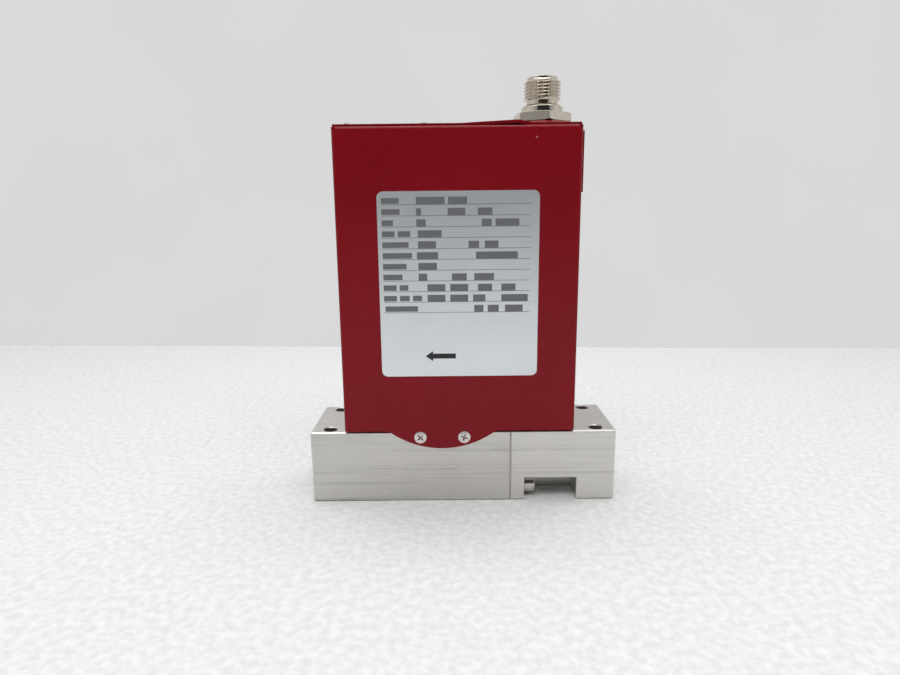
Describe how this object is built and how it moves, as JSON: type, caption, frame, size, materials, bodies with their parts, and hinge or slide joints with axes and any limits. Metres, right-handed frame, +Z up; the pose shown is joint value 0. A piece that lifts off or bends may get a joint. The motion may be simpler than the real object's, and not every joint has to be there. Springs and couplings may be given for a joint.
{
  "type": "mass flow controller",
  "caption": "Surface-mount digital mass flow controller: two-part steel base block with bottom ports, tall red sheet-metal cover, round network connector and small top controls.",
  "frame": {"origin": "centre of the base's underside, between the bolt holes", "axes": "+X from the outlet end to the inlet end, +Z up to the connector, -Y the labelled front"},
  "size_m": [0.105, 0.0308, 0.1417],
  "materials": {
    "stainless_block": "satin milled stainless steel",
    "sensor_steel": "plain stainless steel",
    "screw_steel": "bright stainless screws",
    "nickel_plate": "nickel-plated brass, slightly warm",
    "zinc_screw": "bright plated flat-head screws",
    "red_cover": "deep red powder coat, satin",
    "label_film": "silver-white printed film",
    "contact_carrier": "black moulded plastic",
    "gold_contact": "gold-plated contacts",
    "seal_rubber": "black rubber",
    "sensor_aluminium": "milled aluminium",
    "winding_enamel": "enamelled wire, potted",
    "piezo_ceramic": "coated ceramic stack",
    "circuit_board": "green solder mask",
    "chip_black": "black moulded packages",
    "switch_body": "black switch bodies",
    "dial_white": "off-white rotor",
    "button_grey": "grey button cap",
    "light_pipe": "milky light pipes"
  },
  "bodies": {
    "base": {"outlet_block": "stainless_block", "inlet_block": "stainless_block", "sensor_base": "sensor_steel", "sensor_tube": "sensor_steel", "valve_seat": "sensor_steel", "valve_diaphragm": "sensor_steel", "valve_bonnet": "sensor_steel", "thrust_piece": "sensor_steel", "thrust_ball": "sensor_steel", "actuator_housing": "sensor_steel", "actuator_cap": "sensor_steel", "pressure_sensor": "sensor_steel", "flow_splitter": "sensor_steel", "splitter_clip": "sensor_steel", "block_seal": "sensor_steel", "sensor_seals": "sensor_steel", "pressure_seal": "sensor_steel", "board_bracket": "sensor_steel", "block_screws": "screw_steel", "sensor_screws": "screw_steel", "valve_screws": "screw_steel", "bracket_screws": "screw_steel", "board_screws": "screw_steel", "board_standoffs": "screw_steel", "connector_shell": "nickel_plate", "connector_nut": "nickel_plate", "cover_screws": "zinc_screw", "front_cover": "red_cover", "rear_cover": "red_cover", "rating_label": "label_film", "connector_insert": "contact_carrier", "connector_pins": "gold_contact", "connector_gasket": "seal_rubber", "sensor_housing": "sensor_aluminium", "sensor_windings": "winding_enamel", "piezo_stack": "piezo_ceramic", "main_board": "circuit_board", "network_board": "circuit_board", "main_board_parts": "chip_black", "network_board_parts": "chip_black", "board_header": "chip_black", "dial_housings": "switch_body", "button_housing": "switch_body", "status_lights": "light_pipe"},
    "address_tens_dial": {"address_tens_dial": "dial_white"},
    "address_ones_dial": {"address_ones_dial": "dial_white"},
    "data_rate_dial": {"data_rate_dial": "dial_white"},
    "zero_button": {"zero_button": "button_grey"}
  },
  "joints": [
    {"name": "address_tens_dial_turn", "type": "hinge", "parent": "base", "child": "address_tens_dial", "pos_m": [-0.0285, 0, 0.126], "axis": [0, 0, 1], "continuous": true},
    {"name": "address_ones_dial_turn", "type": "hinge", "parent": "base", "child": "address_ones_dial", "pos_m": [-0.02, 0, 0.126], "axis": [0, 0, 1], "continuous": true},
    {"name": "data_rate_dial_turn", "type": "hinge", "parent": "base", "child": "data_rate_dial", "pos_m": [-0.0035, 0, 0.126], "axis": [0, 0, 1], "continuous": true},
    {"name": "zero_button_press", "type": "slide", "parent": "base", "child": "zero_button", "axis": [0, 0, -1], "range_m": [0, 0.0005], "stiffness_N_per_m": 400, "springref_m": -0.0005}
  ]
}
